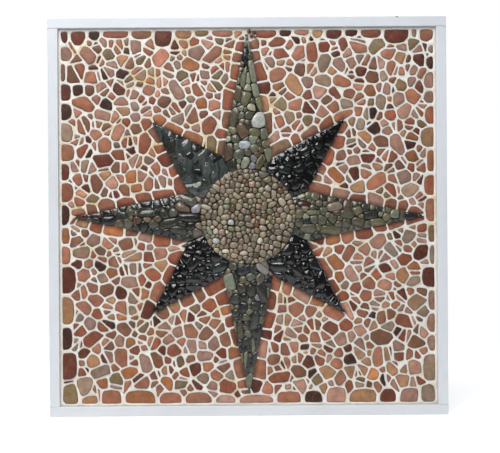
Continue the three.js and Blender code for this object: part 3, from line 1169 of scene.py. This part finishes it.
def planPebbles(rand, kind, name):
    # the outlines of a region's pebbles with their tones, planned along the region's own axis
    look = pebbles[kind]
    turn = starPoints.get(name, 0)
    isBoss = kind == "boss"
    reach = star["boss"] if isBoss else pointReach[turn]
    start = -reach if isBoss else star["boss"] * 0.9
    side = reach if isBoss else valleyAcross

    def isFree(along, across, radius):
        out = math.hypot(along, across)
        if isBoss:
            return out < bossReach(along, across) - radius * 0.85
        half = halfWidth(turn, along)
        clear = out > bossReach(*onPoint(turn, along, across)) + radius * 0.8
        return clear and half - abs(across) > min(radius * 0.8, half * 0.6)

    c, s = math.cos(turn * eighthTurn), math.sin(turn * eighthTurn)
    taken, tones = [], []
    for x, z, half, radius, lean, tone in marked.get(name, ()):
        taken.append((x * c + z * s, z * c - x * s, math.radians(lean) - turn * eighthTurn, half, radius))
        tones.append(tone)
    area = (start, reach, -side, side)
    stones = scatter(rand, area, sizesOf(rand, look), look["turns"], taken, isFree, embed["tries"])
    outlines = []
    for i, (stone, cell) in enumerate(zip(stones, cellsRound(stones, embed["cellReach"]))):
        along, across = stone[:2]
        out = math.hypot(along, across)
        ux, uz = along / out, across / out
        if isBoss:
            edge = bossReach(ux, uz)
            cell = keepSide(cell, ux * edge, uz * edge, ux, uz)
        else:
            edge = bossReach(*onPoint(turn, ux, uz))
            cell = keepSide(cell, ux * edge, uz * edge, -ux, -uz)
            for px, pz, nx, nz in sidesOf(pointCorners(turn)):
                cell = keepSide(cell, px, pz, nx, nz)
        if len(cell) < 3:
            continue
        cell = shrink(cell, [rand.uniform(*embed["joint"]) for _ in cell])
        cell = dropShortSides(cell, embed["leastSide"])
        if len(cell) < 3 or areaOf(cell) < embed["leastArea"]:
            continue
        cell = [onPoint(turn, p, q) for p, q in cell]
        tone = tones[i] if i < len(tones) else None
        outlines.append((softOutline(cell, look["round"], embed["outlineStep"], least=10), tone))
    return outlines


greyFinish = stoneFinish("glossy grey pebble", {
    "cloudScale": 240, "cloud": (0.7, 1.25), "grainScale": 1400, "grain": (0.85, 1.15), "vein": 0.25,
    "veinColor": (170, 170, 156), "roughness": (0.2, 0.4), "bump": 0.25, "bumpStrength": 0.4,
    "coat": 0.6, "coatRoughness": 0.06, "film": 260, "filmDepth": 0.5,
})
blackFinish = stoneFinish("glossy black pebble", {
    "cloudScale": 220, "cloud": (0.6, 1.5), "grainScale": 1300, "grain": (0.8, 1.2),
    "roughness": (0.12, 0.3), "bump": 0.25, "bumpStrength": 0.4, "coat": 1.0, "coatRoughness": 0.04,
    "film": 240, "filmDepth": 0.8,
})
centreFinish = stoneFinish("river pebble", {
    "cloudScale": 260, "cloud": (0.78, 1.18), "grainScale": 1500, "grain": (0.85, 1.12), "vein": 0.15,
    "veinColor": (196, 184, 160), "roughness": (0.3, 0.5), "bump": 0.2, "bumpStrength": 0.4,
    "coat": 0.5, "coatRoughness": 0.15,
})
resinLook = {
    "scale": 110,
    "stretch": 0.22,  # of the streaks in the thick resin, which run up and down
    "streak": 1.5,  # their height
    "ripple": 1.1,
    "shade": (0.35, 1.5),
}


def resinFinish():
    # clear resin over the mortar, thick and streaked on the north-west point
    finish, tree, shader = startFinish("dark resin")
    place = objectPlace(tree)
    tint = addNode(tree, "Attribute", {"attribute_name": "tint"}).outputs
    upright = scaledPlace(tree, place, 1, 1, resinLook["stretch"])
    streaks = noiseOf(tree, upright, resinLook["scale"] * 1.6, 3.0, 0.6)
    ripples = noiseOf(tree, place, resinLook["scale"], 3.0, 0.6)
    cloud = mixed(tree, tint["Alpha"], ripples, streaks)
    shade = spread(tree, cloud, 0.35, 0.65, resinLook["shade"])
    body = mixed(tree, 1.0, tint["Color"], shade, "MULTIPLY")
    dress(tree, shader, body, spread(tree, ripples, 0.3, 0.7, (0.12, 0.3)))
    bumped(tree, shader, cloud, resinLook["ripple"], 0.5)
    bumped(tree, shader, cloud, resinLook["streak"], socket="Coat Normal")
    shader.inputs["Coat Weight"].default_value = 1.0
    shader.inputs["Coat Roughness"].default_value = 0.05
    return finish


for name, turn in starPoints.items():
    kind = name if turn % 2 else "long"
    rand = random.Random("point " + name)
    pile = newPile()
    angular = kind == "northeast"
    for outline, tone in planPebbles(rand, kind, name):
        away = np.hypot(*outline.mean(axis=0)) - star["boss"]
        nearBoss = kind == "long" and away < rand.uniform(4, 24)
        tone = tone or pick(rand, collarMix if nearBoss else pointMixes[name])
        addPebble(pile, rand, outline, kind, pebbleTones[tone], angular)
    if name == "north":
        for x, z, radius, tone in tipPebbles:
            corners = polygonOf(x, z, radius, np.arange(7) * math.tau / 7)
            addPebble(pile, rand, softOutline(corners, 0.4, 1.4), kind, pebbleTones[tone], lift=0.4)
    finish = blackFinish if turn % 2 else greyFinish
    piece = makePiece(f"pebbles_{name}", pile, finish, smooth=not angular)
    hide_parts(f"star_point_{name}")

rand = random.Random("boss")
pile = newPile()
for outline, tone in planPebbles(rand, "boss", "boss"):
    addPebble(pile, rand, outline, "boss", pebbleTones[tone or pick(rand, bossMix)])
piece = makePiece("pebbles_centre", pile, centreFinish)
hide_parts("star_centre")


starBed = {
    "margin": 1.2,  # from the edge of the star
    "step": 2.8,
    "tones": {"boss": (58, 47, 35), "long": (38, 34, 26), "short": (11, 10, 9), "film": (60, 66, 62)},
}


def makeStarBed():
    # mortar and resin that the pebbles sit in
    points = []
    margin, step = starBed["margin"], starBed["step"]
    for turn in range(8):
        for along, across in ((pointReach[turn] - margin, -0.4), (pointReach[turn] - margin, 0.4)):
            points.append(Vector(onPoint(turn, along, across)))
        points.append(Vector(onPoint(turn, valleyAlong - margin, valleyAcross - margin * 0.4)))
    border = []
    for a, b in pairsOf(points):
        parts = max(1, round((b - a).length / 3))
        border += [a.lerp(b, k / parts) for k in range(parts)]
    points = border[:]
    edges = [(i, (i + 1) % len(border)) for i in range(len(border))]
    rows = int(max(pointReach) / step) + 1
    for i in range(-rows, rows + 1):
        for j in range(-rows, rows + 1):
            x, z = (i + 0.5 * (j % 2)) * step, j * step * 0.87
            if starDistance(x, z) < -margin - 1.2:
                points.append(Vector((x, z)))
    out = delaunay_2d_cdt(points, edges, [], 1, 0.02)
    flat, triangles = out[0], out[2]
    pile = newPile()
    # the last number says where the thick streaked resin lies
    bedTones = {kind: (*linear(color), kind == "film") for kind, color in starBed["tones"].items()}
    for p in flat:
        turn, along, across = starFrame(p.x, p.y)
        sink = embed["resin"] if turn == 3 and along > star["boss"] else embed["bed"]
        height = starHeight(p.x, p.y) - sink + 0.5 * waves.noise(Vector((p.x / 5, p.y / 5, 5)))
        pile["points"].append((p.x, p.y, max(height, 0.7)))
        kind = "long" if turn % 2 == 0 else "film" if turn == 3 else "short"
        if math.hypot(p.x, p.y) < bossReach(p.x, p.y):
            kind = "boss"
        pile["tints"].append(bedTones[kind])
    pile["faces"] = [tuple(face) for face in triangles]
    rim = [i for i, p in enumerate(flat) if any((p - b).length < 0.01 for b in border)]
    order = {tuple(round(c, 2) for c in b): k for k, b in enumerate(border)}
    rim.sort(key=lambda i: order[tuple(round(c, 2) for c in flat[i])])
    first = len(pile["points"])
    for i in rim:
        pile["points"].append((flat[i].x, flat[i].y, -0.6))
        pile["tints"].append(bedTones["long"])
    isForward = areaOf([tuple(flat[i]) for i in rim]) > 0
    for k, i in enumerate(rim):
        j = (k + 1) % len(rim)
        side = (i, first + k, first + j, rim[j])
        pile["faces"].append(side if isForward else side[::-1])
    under = tuple(range(first, first + len(rim)))
    pile["faces"].append(under[::-1] if isForward else under)
    makePiece("star_resin", pile, resinFinish())


makeStarBed()


studio = {
    "floor": (238, 238, 236),
    "floorReach": 3.0,
    "cameraAway": 1.6,
    "cameraAt": (3, -15),  # across and up, from the middle of the panel
    "roll": 0.37,
    "viewWidth": 752.4,  # what the picture takes in at the front of the frame
    "floorGlow": 0.5,
    "floorFade": (0.45, 1.1),  # where the floor starts and ends to thin out
    "sky": (0.05, 0.052, 0.055),
    "fillSky": (0.21, 0.245, 0.29),  # for soft light only
    # each light's place, size, power and colour
    "lights": {
        "window": ((-0.62, -1.1, 1.6), (1.3, 1.0), 28, (1.0, 0.99, 0.97)),
        "lamp": ((-0.45, -1.5, 1.0), (0.3, 0.3), 5, (1, 1, 1)),
        "right fill": ((2.2, -0.1, 0.7), (1.2, 1.2), 9, (1, 1, 1)),
        "back fill": ((0.9, 2.2, 1.2), (1.6, 1.2), 22, (1, 1, 1)),
        "front fill": ((-0.5, -2.0, 0.9), (1.8, 1.4), 8, (1, 1, 1)),
    },
    "unmirrored": "front fill",
}

floorMesh = bpy.data.meshes.new("floor")
reach, low = studio["floorReach"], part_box("frame_rail_bottom")[0].z
floorCorners = [(a * reach, b * reach, low) for a, b in ((-1, -1), (1, -1), (1, 1), (-1, 1))]
floorMesh.from_pydata(floorCorners, [], [(0, 1, 2, 3)])
floor = bpy.data.objects.new("floor", floorMesh)
bpy.context.scene.collection.objects.link(floor)
floorFinish, tree, shader = startFinish("pale floor")
place = objectPlace(tree)
shader.inputs["Base Color"].default_value = solid(studio["floor"])
shader.inputs["Roughness"].default_value = 0.9
shader.inputs["Emission Color"].default_value = (1, 1, 1, 1)
isSeen = addNode(tree, "LightPath").outputs["Is Camera Ray"]
glow = spread(tree, isSeen, 0, 1, (0.0, studio["floorGlow"]))
tree.links.new(glow, shader.inputs["Emission Strength"])
thin = spread(tree, lengthOf(tree, scaledPlace(tree, place, 1, 1, 0)), *studio["floorFade"])
clear = addNode(tree, "BsdfTransparent")
fade = addNode(tree, "MixShader", i0=thin, i1=shader.outputs[0], i2=clear.outputs[0])
tree.links.new(fade.outputs[0], tree.nodes["Material Output"].inputs[0])
floorMesh.materials.append(floorFinish)


for name, (place, size, power, color) in studio["lights"].items():
    light = bpy.data.lights.new(name, "AREA")
    light.shape = "RECTANGLE"
    light.size, light.size_y = size
    light.energy = power
    light.color = color
    box = bpy.data.objects.new(name, light)
    box.location = place
    box.visible_glossy = name != studio["unmirrored"]
    box.rotation_euler = (-Vector(place)).to_track_quat("-Z", "Y").to_euler()
    bpy.context.scene.collection.objects.link(box)

world = bpy.data.worlds.new("studio")
bpy.context.scene.world = world
world.use_nodes = True
tree = world.node_tree
background = tree.nodes["Background"]
rays = addNode(tree, "LightPath").outputs
ambient = mixed(tree, rays["Is Diffuse Ray"], (*studio["sky"], 1), (*studio["fillSky"], 1))
tree.links.new(mixed(tree, rays["Is Camera Ray"], ambient, (1, 1, 1, 1)), background.inputs["Color"])

camera = bpy.data.objects.new("camera", bpy.data.cameras.new("camera"))
bpy.context.scene.collection.objects.link(camera)
across, up = studio["cameraAt"]
camera.location = (across * mm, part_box("frame_rail_top")[0].y - studio["cameraAway"], up * mm)
camera.rotation_euler = (quarterTurn, 0, 0)
camera.rotation_euler.rotate_axis("Z", math.radians(-studio["roll"]))
camera.data.lens = camera.data.sensor_width * studio["cameraAway"] / (studio["viewWidth"] * mm)
bpy.context.scene.camera = camera
bpy.context.scene.view_settings.view_transform = "Standard"
print("studio set")
